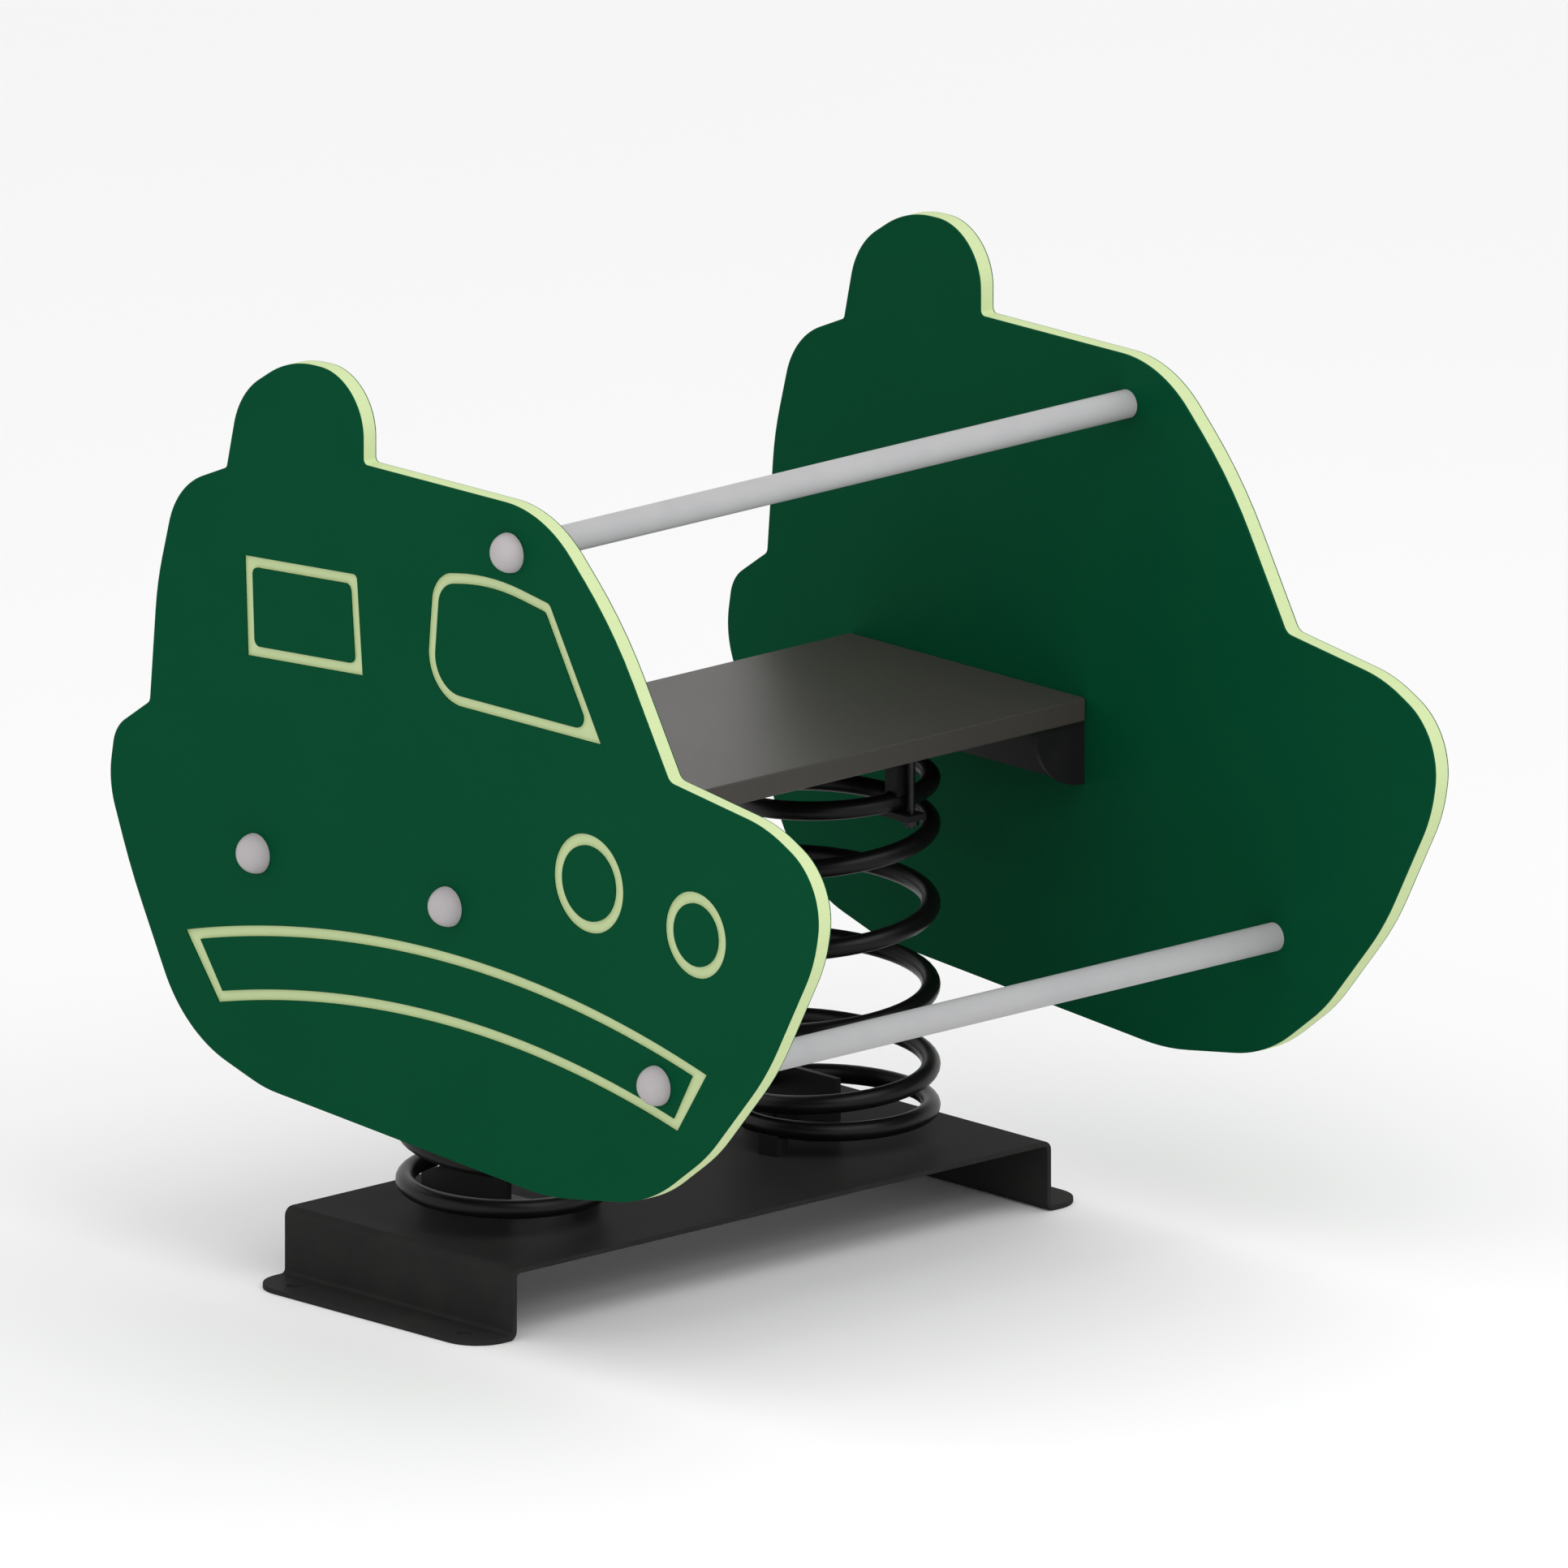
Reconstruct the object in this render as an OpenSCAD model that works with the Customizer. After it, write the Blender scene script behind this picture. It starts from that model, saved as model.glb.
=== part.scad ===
// Two-spring rocker with car-shaped side panels, a bench seat, a handrail and a footrest.
// Millimetres. +X is the way the riders face, +Y is their left and +Z is up.
// The origin is on the ground, at the centre of the four anchor holes.

/* [Side panels] */
// Thickness of each side panel
panel_t = 18; // [15:0.5:22]
// Clear width between the two side panels
inner_w = 762; // [640:1:880]
// Width of an engraved line
line_w = 10; // [6:0.5:11]
// Width of an engraved headlight ring
ring_w = 11; // [6:0.5:12]
// Depth of the engraving, through the dark skin into the light core
engrave_d = 2.5; // [1:0.5:4]
// Outside radius of the rear headlight ring
lamp_rear_r = 47; // [30:1:50]
// Outside radius of the front headlight ring
lamp_front_r = 41; // [28:1:44]

/* [Seat] */
// Front to back depth of the seat board
seat_d = 320; // [280:1:340]
// Thickness of the seat board
seat_t = 22; // [18:1:28]
// Drop from the seat board's underside to the middle of the top spring ring
ring_drop = 49; // [44:1:60]
// Gap between each end of the seat board and its side panel
seat_gap = 1; // [0.5:0.5:3]
// Radius of the seat board's upright corners
seat_corner_r = 4; // [2:1:10]

/* [Seat brackets] */
// How far a seat bracket stops short of the seat's front and back edges
bracket_short = 4; // [2:1:12]
// Width of the flange under the seat
bracket_w = 67; // [50:1:80]
// Height of the flange against the side panel
bracket_h = 61; // [55:1:75]
// Plate thickness of a seat bracket
bracket_t = 5; // [4:0.5:6]
// Distance of a bracket's panel bolts from its ends
bracket_bolt_in = 26; // [18:1:40]
// Distance of a bracket's panel bolts below the seat board
bracket_bolt_drop = 41; // [36:1:45]

/* [Handrail and footrest] */
// Outside diameter of both tubes
tube_d = 26.9; // [24:0.1:34]
// Wall of both tubes
tube_wall = 2.6; // [2:0.1:3.2]
// Distance of the handrail in front of the springs
handrail_x = 214; // [180:1:230]
// Height of the handrail above the seat
handrail_up = 292; // [255:1:300]
// Distance of the footrest in front of the springs
footrest_x = 413; // [360:1:425]
// Distance of the footrest below the top of the seat
footrest_down = 179; // [160:1:190]
// Length of the threaded insert in each tube end
insert_l = 40; // [30:1:60]

/* [Fasteners] */
// Diameter of the panel bolts
bolt_d = 10; // [8:1:12]
// Diameter of the dome caps
cap_d = 38; // [34:1:44]
// Height of the dome caps above the panel
cap_h = 19; // [16:0.5:24]

/* [Springs] */
// Outside diameter of each spring
spring_od = 200; // [180:1:216]
// Diameter of the spring wire
wire_d = 18; // [14:0.5:20]
// Distance from each spring's axis to the side panel beside it
spring_in = 173; // [160:1:190]
// Pitch of the free coils
coil_pitch = 78; // [60:1:90]
// Number of turns between the two end rings
coil_turns = 5; // [4:1:6]
// Gap between the base plate and the lowest coil
ring_gap = 17; // [12:0.5:22]

/* [Base] */
// Front to back width of the base
base_w = 310; // [280:1:360]
// Length of the base plate beyond each spring's axis
base_over = 132; // [120:1:160]
// Height of the top of the base plate
base_h = 68; // [60:1:90]
// Plate thickness of the base
base_t = 5; // [4:0.5:8]
// Inside radius of the folds
fold_r = 4; // [2:0.5:8]
// Width of the foot flanges
foot_w = 48; // [40:1:70]
// Corner radius of the foot flanges
foot_corner_r = 36; // [20:1:38]
// Diameter of the anchor holes
anchor_hole_d = 14; // [10:1:18]
// Front to back distance between anchor holes
anchor_span_x = 230; // [180:1:240]
// Distance from the fold of a foot to its anchor holes
anchor_inset = 25; // [18:1:27]

/* [Hidden] */

// Clearances and steps
bolt_play = 0.4;      // how much wider than its bolt a clearance hole is
saddle_play = 1.2;    // gap round the sloping wire in an upper saddle's groove
weld_play = 0.95;     // gap round the level wire in a lower saddle's groove
thread_play = 0.05;   // gap between a thread and its nut or insert
arc_step = 6;         // degrees between the points of a rounded corner
wire_sides = 10;      // sides of the swept spring wire
wire_steps = 20;      // sections of the spring wire in one turn

// Heights and places that follow from the dimensions above
sides = [-1, 1];      // -1 is the riders' right, +1 their left
panel_inner_y = inner_w / 2;
panel_outer_y = panel_inner_y + panel_t;
spring_span = inner_w - 2 * spring_in;
base_l = spring_span + 2 * base_over;
anchor_y = base_l / 2 + anchor_inset;
bracket_l = seat_d - 2 * bracket_short;

// Spring: the wire's centre line rises by coil_pitch a turn, easing in and out of its end rings
wire_r = wire_d / 2;
coil_r = spring_od / 2 - wire_r;
ring_start = 47;      // angle of the coil, seen from above, at turn 0
low_ease = [-0.3, 1.6];    // turn at which the bottom ring begins to rise, turns to the full pitch
high_ease = [-0.5, 1.8];   // the same for the top ring, counted down from the top
wire_air = 1.1;       // gap between the wire's end and the coil that passes it
function end_turn(ease) = ease[0] - 1 + sqrt(2 * ease[1] * (wire_d + wire_air) / coil_pitch);
ring_z = base_h + ring_gap + wire_r;
function eased(t, ease) =
  t < ease[0] ? 0
  : t < ease[0] + ease[1] ? coil_pitch * pow(t - ease[0], 2) / (2 * ease[1])
  : coil_pitch * (t - ease[0] - ease[1] / 2);
coil_rise = eased(coil_turns / 2, low_ease) + eased(coil_turns / 2, high_ease);
function wire_z(t) =
  ring_z + (t < coil_turns / 2 ? eased(t, low_ease) : coil_rise - eased(coil_turns - t, high_ease));
function wire_angle(t) = ring_start + 360 * t;
function turn_at(angle, near) =
  let (t = (angle - ring_start) / 360) t + round(near - t);
seat_under_z = ring_z + coil_rise + ring_drop;

// Places of the holders round the left spring's rings, and the turns that pass them
web_angle = 180;
saddle_angle = -80;
clamp_angle = 0;
low_web_z = wire_z(turn_at(web_angle, 0.37));
high_web_z = wire_z(turn_at(web_angle, coil_turns + 0.37));
clamp_z = wire_z(turn_at(clamp_angle, coil_turns - 0.13));

// Spring hardware
web_t = 6;            // plate of the anchors and hangers
web_hole_r = wire_r + 1.4;
web_edge = 7;         // plate left beyond the wire, outwards, above and below
lower_web_reach = 8;  // how far past the spring's axis the lower web runs
hanger_l = 42;        // length of an upper hanger, towards the spring's axis
web_flange_w = 34;    // width of an anchor's foot
anchor_screw_x = [-66, -22];
anchor_screw_y = -20;
clamp_w = 22;         // width of a clamp, along the wire
clamp_t = 6;
clamp_gap = 0.9;      // space between a clamp and the wire before it is pulled tight
clamp_end = 9;        // clamp left beyond its bolt
saddle_w = 22;        // width of a saddle, along the wire
saddle_half = 8;      // half a saddle, across the wire
stud_d = 8;           // clamp studs
stud_off = wire_r + 6;   // a clamp stud, outside the wire
plate_t = 6;          // top plate
plate_z = seat_under_z - plate_t;
plate_l = 2 * (coil_r + stud_off + 26);
plate_w = 1.25 * coil_r;
hex_z = 6.4;          // height of a 10 mm nut
hex_d = 18.5;         // across its corners
tail = 5;             // thread left beyond a nut
small_d = 8;          // anchor screws, seat screws and plate screws
small_hex_z = 5.3;
small_hex_d = 15;
wood_screw_l = 16;    // length of a screw inside the seat board
plate_screw_at = [plate_l / 2 - 14, plate_w / 2 - 21];
web_out = coil_r + web_hole_r + web_edge;
seat_screw_x = [-100, 0, 100];
seat_screw_in = 42;   // seat screws, from the panel

// Panel fixings
handrail_z = seat_under_z + seat_t + handrail_up;
footrest_z = seat_under_z + seat_t - footrest_down;
bracket_bolt_z = seat_under_z - bracket_bolt_drop;
gusset_t = 5;
cup_h = 3;            // the cup that a dome cap snaps on
cup_lip = 1.2;
cap_wall = 2;
head_h = 5.5;         // round head under a dome cap
head_d = 17.5;
washer_d = 20;
washer_t = 2;
bolt_hole_r = (bolt_d + bolt_play) / 2;
fixings = [
  [bracket_bolt_in - bracket_l / 2, bracket_bolt_z], [bracket_l / 2 - bracket_bolt_in, bracket_bolt_z],
  [handrail_x, handrail_z], [footrest_x, footrest_z]
];

// Outline of a side panel: corners as [x, z, radius], anticlockwise, with the seat board's
// underside at outline_seat_z
outline_seat_z = 463;
panel_corners = [
  [14, 822, 5], [14, 905, 58], [-86, 903, 115], [-154, 858, 80], [-171, 783, 6],
  [-239, 753, 80], [-265, 655, 300], [-275, 539, 8], [-322, 506, 38], [-331, 452, 90],
  [-300, 372, 600], [-228, 232, 140], [-120, 199, 150], [265, 169.5, 260],
  [400, 190, 170], [480, 250, 200], [560, 343, 300], [625, 462, 150], [638, 541, 70],
  [560, 581, 150], [429, 599, 12], [352, 730, 420], [258, 824, 125]
];
rear_window = [[-142, 609, 0], [14, 620, 0], [6, 715, 5], [-146, 704, 0]];
rear_window_inner_r = [7, 7, 7, 7];
front_window = [[98, 616, 45], [337, 617, 0], [267, 738, 8], [186, 751, 260], [109, 737, 34]];
front_window_inner_r = [34, 10, 8, 240, 24];
lamp_rear = [320, 481];
lamp_front = [465, 460];
// The bumper band lies between two arcs about one far centre, cut off on a slant at both ends
bumper_c = [125, -945];
bumper_r = [1252.5, 1322.5];
bumper_ends = [[-226, -181], [440, 480]];   // x of the band's corners: rear upper, lower; front lower, upper

// Geometry helpers
function unit(v) = v / norm(v);
function corner_arc(before, at, after) =
  let (q = [at.x, at.y], r = at.z)
  r <= 0 ? [q] :
  let (
    a = unit([before.x, before.y] - q), b = unit([after.x, after.y] - q),
    half = acos(a * b) / 2,
    middle = q + unit(a + b) * r / sin(half),
    from = q + a * r / tan(half) - middle,
    sweep = -sign(cross(a, b)) * (180 - 2 * half),
    n = ceil(abs(sweep) / arc_step)
  )
  [for (i = [0 : n]) let (g = atan2(from.y, from.x) + sweep * i / n) middle + r * [cos(g), sin(g)]];
function rounded(c) =
  let (n = len(c))
  [for (i = [0 : n - 1]) each corner_arc(c[(i + n - 1) % n], c[i], c[(i + 1) % n])];
function left_of(p, q) = let (d = unit([q.x - p.x, q.y - p.y])) [-d.y, d.x];
function inset(c, by, radii) =
  let (n = len(c))
  [for (i = [0 : n - 1])
    let (
      m = left_of(c[(i + n - 1) % n], c[i]), k = left_of(c[i], c[(i + 1) % n]),
      p = [c[i].x, c[i].y] + (m + k) * by / (1 + m * k)
    )
    [p.x, p.y, radii[i]]];
function bumper_arc(r, from_x, to_x) =
  let (a = acos((from_x - bumper_c.x) / r), b = acos((to_x - bumper_c.x) / r), n = 24)
  [for (i = [0 : n]) let (g = a + (b - a) * i / n) bumper_c + r * [cos(g), sin(g)]];
function bumper_band(by) =
  concat(
    bumper_arc(bumper_r[0] + by, bumper_ends[0][1] + by / 2, bumper_ends[1][0] - by / 2),
    bumper_arc(bumper_r[1] - by, bumper_ends[1][1] - 2 * by, bumper_ends[0][0] + 2 * by)
  );

module upright(y, h) translate([0, y + h, 0]) rotate([90, 0, 0]) linear_extrude(h) children();
module along_y(x, z, y, h, r) translate([x, y, z]) rotate([-90, 0, 0]) cylinder(r = r, h = h, $fn = 64);
module hex(d, h) cylinder(d = d, h = h, $fn = 6);
module at_spring(s) mirror([0, s > 0 ? 0 : 1, 0]) translate([0, spring_span / 2, 0]) children();
module on_springs() for (s = sides) at_spring(s) children();

// Base: one folded plate with two outward feet
module foot_plan(s) {
  reach = base_l / 2 + foot_w;
  translate([-base_w / 2, s > 0 ? 0 : -reach + foot_corner_r]) square([base_w, reach - foot_corner_r]);
  translate([-base_w / 2 + foot_corner_r, s > 0 ? 0 : -reach]) square([base_w - 2 * foot_corner_r, reach]);
  for (x = sides) translate([x * (base_w / 2 - foot_corner_r), s * (reach - foot_corner_r)])
    circle(foot_corner_r, $fn = 64);
}
module base_frame() {
  edge = base_l / 2;
  reach = edge + foot_w;
  outside = fold_r + base_t;
  fold = [
    [-reach, 0, 0], [-edge + base_t, 0, outside], [-edge + base_t, base_h - base_t, fold_r],
    [edge - base_t, base_h - base_t, fold_r], [edge - base_t, 0, outside], [reach, 0, 0],
    [reach, base_t, 0], [edge, base_t, fold_r], [edge, base_h, outside],
    [-edge, base_h, outside], [-edge, base_t, fold_r], [-reach, base_t, 0]
  ];
  color([0.05, 0.05, 0.055]) difference() {
    intersection() {
      translate([-base_w / 2, 0, 0]) rotate([90, 0, 90]) linear_extrude(base_w) polygon(rounded(fold));
      linear_extrude(base_h + 1) { foot_plan(-1); foot_plan(1); }
    }
    for (x = sides, y = sides) translate([x * anchor_span_x / 2, y * anchor_y, -1])
      cylinder(d = anchor_hole_d, h = base_t + 2, $fn = 64);
    on_springs() anchor_screw_places() translate([0, 0, base_h - base_t - 1])
      cylinder(d = small_d + bolt_play, h = base_t + 2, $fn = 48);
  }
}

// Lower spring hardware, in the frame of the left spring's axis; the right one's is its mirror image
module anchor_screw_places() for (x = anchor_screw_x) translate([x, anchor_screw_y, 0]) children();
module web_hole(z)
  translate([-coil_r, -web_t, z]) rotate([-90, 0, 0]) cylinder(r = web_hole_r, h = 2 * web_t, $fn = 64);

module lower_anchor(s) color([0.045, 0.045, 0.05]) at_spring(s) difference() {
  foot_l = spring_od / 2 - wire_d - 2;
  union() {
    translate([-web_out, -web_t / 2, base_h])
      cube([web_out + lower_web_reach, web_t, low_web_z + web_hole_r + web_edge - base_h]);
    translate([-foot_l, -web_t / 2 - web_flange_w, base_h])
      cube([foot_l + lower_web_reach, web_flange_w + web_t / 2, web_t]);
  }
  web_hole(low_web_z);
  anchor_screw_places() translate([0, 0, base_h - 1]) cylinder(d = small_d + bolt_play, h = web_t + 2, $fn = 48);
}
module anchor_screws() color([0.1, 0.1, 0.105]) on_springs() anchor_screw_places() {
  translate([0, 0, base_h + web_t]) hex(small_hex_d, small_hex_z);
  translate([0, 0, base_h - base_t - small_hex_z - tail])
    cylinder(d = small_d, h = base_t + web_t + small_hex_z + tail + 1, $fn = 48);
}
module anchor_nuts() color([0.1, 0.1, 0.105]) on_springs() anchor_screw_places() difference() {
  translate([0, 0, base_h - base_t - small_hex_z]) hex(small_hex_d, small_hex_z);
  translate([0, 0, base_h - base_t - small_hex_z - 1])
    cylinder(d = small_d + 2 * thread_play, h = small_hex_z + 2, $fn = 48);
}
// A saddle carries the wire in a round groove that runs along it
module saddle(z_from, z_to, wire_centre_z, play) difference() {
  translate([coil_r - saddle_half, -saddle_w / 2, z_from]) cube([2 * saddle_half, saddle_w, z_to - z_from]);
  translate([0, 0, wire_centre_z]) rotate_extrude($fn = 96) translate([coil_r, 0])
    circle(wire_r + play, $fn = 48);
}
module lower_saddle(s) color([0.045, 0.045, 0.05]) at_spring(s)
  rotate([0, 0, saddle_angle]) saddle(base_h, ring_z - wire_r * 0.5, ring_z, weld_play);

// Spring: a round wire swept along its coil
module spring(s) {
  first = end_turn(low_ease);
  last = coil_turns - end_turn(high_ease);
  n = round((last - first) * wire_steps);
  points = [for (i = [0 : n])
    let (
      t = first + (last - first) * i / n, a = wire_angle(t),
      rise = (wire_z(t + 0.01) - wire_z(t - 0.01)) / (0.02 * 2 * PI * coil_r),
      out = [cos(a), sin(a), 0],
      up = unit([sin(a) * rise, -cos(a) * rise, 1])
    )
    for (j = [0 : wire_sides - 1])
      let (g = 360 * j / wire_sides)
      [0, 0, wire_z(t)] + coil_r * out + wire_r * (cos(g) * out + sin(g) * up)];
  skin = [for (i = [0 : n - 1], j = [0 : wire_sides - 1])
    let (a = i * wire_sides, k = (j + 1) % wire_sides)
    each [[a + j, a + k, a + wire_sides + k], [a + j, a + wire_sides + k, a + wire_sides + j]]];
  start_cap = [for (j = [wire_sides - 1 : -1 : 0]) j];
  end_cap = [for (j = [0 : wire_sides - 1]) n * wire_sides + j];
  color([0.03, 0.03, 0.035]) at_spring(s)
    polyhedron(points, concat([start_cap], skin, [end_cap]), convexity = 10);
}

// Upper spring hardware
module plate_screw_places()
  for (x = sides, y = sides) translate([x * plate_screw_at.x, y * plate_screw_at.y, 0]) children();
module stud_place() rotate([0, 0, clamp_angle]) translate([coil_r + stud_off, 0, 0]) children();
module top_plate(s) color([0.045, 0.045, 0.05]) at_spring(s) difference() {
  translate([-plate_l / 2, -plate_w / 2, plate_z]) cube([plate_l, plate_w, plate_t]);
  plate_screw_places() translate([0, 0, plate_z - 1]) cylinder(d = small_d + bolt_play, h = plate_t + 2, $fn = 48);
  stud_place() translate([0, 0, plate_z - 1]) cylinder(d = stud_d + 2 * thread_play, h = plate_t + 2, $fn = 48);
}
module seat_hole() cylinder(d = small_d + 2 * thread_play, h = wood_screw_l + 1, $fn = 48);
module top_plate_screws() color([0.1, 0.1, 0.105]) on_springs() plate_screw_places() {
  translate([0, 0, plate_z - small_hex_z]) hex(small_hex_d, small_hex_z);
  translate([0, 0, plate_z - 1]) cylinder(d = small_d, h = plate_t + wood_screw_l + 1, $fn = 48);
}
module upper_hanger(s) color([0.045, 0.045, 0.05]) at_spring(s) difference() {
  bottom = high_web_z - web_hole_r - web_edge;
  translate([-web_out, -web_t / 2, bottom]) cube([hanger_l, web_t, plate_z - bottom]);
  web_hole(high_web_z);
}
module upper_saddle(s) color([0.045, 0.045, 0.05]) at_spring(s)
  rotate([0, 0, clamp_angle]) saddle(clamp_z + wire_r * 0.6, plate_z, clamp_z, saddle_play);
// A clamp bar under the wire, with a lip that hooks up inside it
module upper_clamp(s) color([0.045, 0.045, 0.05]) at_spring(s) rotate([0, 0, clamp_angle]) difference() {
  top = clamp_z - wire_r - clamp_gap;
  inner = coil_r - wire_r - clamp_gap - clamp_t;
  union() {
    translate([inner, -clamp_w / 2, top - clamp_t])
      cube([coil_r + stud_off + clamp_end - inner, clamp_w, clamp_t]);
    translate([inner, -clamp_w / 2, top - clamp_t]) cube([clamp_t - 1, clamp_w, clamp_t + wire_r]);
  }
  translate([coil_r + stud_off, 0, top - clamp_t - 1]) cylinder(d = stud_d + bolt_play, h = clamp_t + 2, $fn = 48);
}
module upper_studs() color([0.1, 0.1, 0.105]) on_springs() stud_place() {
  nut_top = clamp_z - wire_r - clamp_gap - clamp_t;
  translate([0, 0, nut_top - small_hex_z - tail / 2])
    cylinder(d = stud_d, h = plate_z + plate_t - nut_top + small_hex_z + tail / 2, $fn = 48);
}
module upper_stud_nuts() color([0.1, 0.1, 0.105]) on_springs() stud_place() difference() {
  nut_top = clamp_z - wire_r - clamp_gap - clamp_t;
  translate([0, 0, nut_top - small_hex_z]) hex(small_hex_d, small_hex_z);
  translate([0, 0, nut_top - small_hex_z - 1]) cylinder(d = stud_d + 2 * thread_play, h = small_hex_z + 2, $fn = 48);
}

// Seat and its brackets
module seat_board() color([0.27, 0.26, 0.25]) difference() {
  l = inner_w - 2 * seat_gap;
  translate([0, 0, seat_under_z]) linear_extrude(seat_t) {
    square([seat_d - 2 * seat_corner_r, l], center = true);
    square([seat_d, l - 2 * seat_corner_r], center = true);
    for (x = sides, y = sides) translate([x * (seat_d / 2 - seat_corner_r), y * (l / 2 - seat_corner_r)])
      circle(seat_corner_r, $fn = 48);
  }
  on_springs() plate_screw_places() translate([0, 0, seat_under_z - 1]) seat_hole();
  seat_screw_places() translate([0, 0, seat_under_z - 1]) seat_hole();
}
module seat_screw_places()
  for (x = seat_screw_x, s = sides) translate([x, s * (panel_inner_y - seat_screw_in), 0]) children();
module seat_bracket(s) color([0.06, 0.06, 0.065]) mirror([0, s > 0 ? 0 : 1, 0]) difference() {
  union() {
    translate([-bracket_l / 2, panel_inner_y - bracket_w, seat_under_z - bracket_t])
      cube([bracket_l, bracket_w, bracket_t]);
    translate([-bracket_l / 2, panel_inner_y - bracket_t, seat_under_z - bracket_h])
      cube([bracket_l, bracket_t, bracket_h]);
    for (x = [-bracket_l / 2, bracket_l / 2 - gusset_t])
      translate([x, panel_inner_y - bracket_t / 2, seat_under_z - bracket_t / 2]) rotate([90, 0, 90])
        linear_extrude(gusset_t) intersection() {
          circle(bracket_h - bracket_t / 2, $fn = 96);
          translate([-bracket_w, -bracket_h]) square([bracket_w, bracket_h]);
        }
  }
  for (i = [0, 1]) along_y(fixings[i].x, fixings[i].y, panel_inner_y - bracket_t - 1, bracket_t + 2, bolt_hole_r);
  for (x = seat_screw_x) translate([x, panel_inner_y - seat_screw_in, seat_under_z - bracket_t - 1])
    cylinder(d = small_d + bolt_play, h = bracket_t + 2, $fn = 48);
}
module seat_screws() color([0.1, 0.1, 0.105]) seat_screw_places() {
  translate([0, 0, seat_under_z - bracket_t - small_hex_z]) hex(small_hex_d, small_hex_z);
  translate([0, 0, seat_under_z - bracket_t - 1])
    cylinder(d = small_d, h = bracket_t + wood_screw_l + 1, $fn = 48);
}

// Side panels: a car's outline, engraved on the outer face only
module engraving() {
  difference() { polygon(rounded(rear_window)); polygon(rounded(inset(rear_window, line_w, rear_window_inner_r))); }
  difference() { polygon(rounded(front_window)); polygon(rounded(inset(front_window, line_w, front_window_inner_r))); }
  translate(lamp_rear) difference() { circle(lamp_rear_r, $fn = 96); circle(lamp_rear_r - ring_w, $fn = 96); }
  translate(lamp_front) difference() { circle(lamp_front_r, $fn = 96); circle(lamp_front_r - ring_w, $fn = 96); }
  difference() { polygon(bumper_band(0)); polygon(bumper_band(line_w)); }
}
module at_seat() translate([0, 0, seat_under_z - outline_seat_z]) children();
module side_panel(s) color([0.05, 0.29, 0.18]) mirror([0, s > 0 ? 0 : 1, 0]) difference() {
  at_seat() upright(panel_inner_y, panel_t) polygon(rounded(panel_corners));
  at_seat() upright(panel_outer_y - engrave_d, engrave_d + 1) engraving();
  for (f = fixings) along_y(f.x, f.y, panel_inner_y - 1, panel_t + 2, bolt_hole_r);
}

// A round-headed bolt through a panel from outside, and the cup and dome that cover its head
module panel_bolt(at, s, reach) mirror([0, s > 0 ? 0 : 1, 0]) {
  along_y(at.x, at.y, panel_outer_y + cup_h, head_h, head_d / 2);
  along_y(at.x, at.y, panel_outer_y + cup_h - panel_t - cup_h - reach, panel_t + cup_h + reach + 1, bolt_d / 2);
}
module bracket_bolts() color([0.6, 0.6, 0.62]) for (s = sides, i = [0, 1])
  panel_bolt(fixings[i], s, bracket_t + washer_t + hex_z + tail);
module ring_on_bolt(at, s, y, h, d, hole_r, sides_n = 64) mirror([0, s > 0 ? 0 : 1, 0]) difference() {
  translate([at.x, y, at.y]) rotate([-90, 0, 0]) cylinder(d = d, h = h, $fn = sides_n);
  along_y(at.x, at.y, y - 1, h + 2, hole_r);
}
module bracket_washers() color([0.6, 0.6, 0.62]) for (s = sides, i = [0, 1])
  ring_on_bolt(fixings[i], s, panel_inner_y - bracket_t - washer_t, washer_t, washer_d, bolt_hole_r);
module bracket_nuts() color([0.6, 0.6, 0.62]) for (s = sides, i = [0, 1])
  ring_on_bolt(fixings[i], s, panel_inner_y - bracket_t - washer_t - hex_z, hex_z, hex_d, bolt_d / 2 + thread_play, 6);

module tube(at) difference() {
  along_y(at.x, at.y, -panel_inner_y, inner_w, tube_d / 2);
  along_y(at.x, at.y, -panel_inner_y - 1, inner_w + 2, tube_d / 2 - tube_wall);
}
module inserts(at) for (s = sides)
  ring_on_bolt(at, s, panel_inner_y - insert_l, insert_l, tube_d - 2 * tube_wall - 2 * thread_play,
    bolt_d / 2 + thread_play);
module handrail() color([0.76, 0.76, 0.76]) tube(fixings[2]);
module footrest() color([0.76, 0.76, 0.76]) tube(fixings[3]);
module handrail_inserts() color([0.6, 0.6, 0.62]) inserts(fixings[2]);
module footrest_inserts() color([0.6, 0.6, 0.62]) inserts(fixings[3]);
module handrail_bolts() color([0.6, 0.6, 0.62]) for (s = sides) panel_bolt(fixings[2], s, insert_l * 0.7);
module footrest_bolts() color([0.6, 0.6, 0.62]) for (s = sides) panel_bolt(fixings[3], s, insert_l * 0.7);

cap_sphere_r = (pow(cap_d / 2, 2) + pow(cap_h, 2)) / (2 * cap_h);
module cap_cups(s) color([0.7, 0.7, 0.7]) for (f = fixings)
  ring_on_bolt(f, s, panel_outer_y, cup_h, cap_d - 2 * cap_wall - 2 * cup_lip, bolt_hole_r);
module dome_caps(s) color([0.8, 0.79, 0.79]) for (f = fixings) mirror([0, s > 0 ? 0 : 1, 0])
  translate([f.x, panel_outer_y, f.y]) rotate([-90, 0, 0]) difference() {
    intersection() {
      translate([0, 0, cap_h - cap_sphere_r]) sphere(cap_sphere_r, $fn = 96);
      cylinder(d = 2 * cap_d, h = cap_h + 1, $fn = 96);
    }
    translate([0, 0, cap_h - cap_sphere_r]) sphere(cap_sphere_r - cap_wall, $fn = 96);
    translate([0, 0, -1]) cylinder(d = cap_d - 2 * cap_wall - 2 * cup_lip + 0.1, h = cup_h + 1, $fn = 96);
  }

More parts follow.
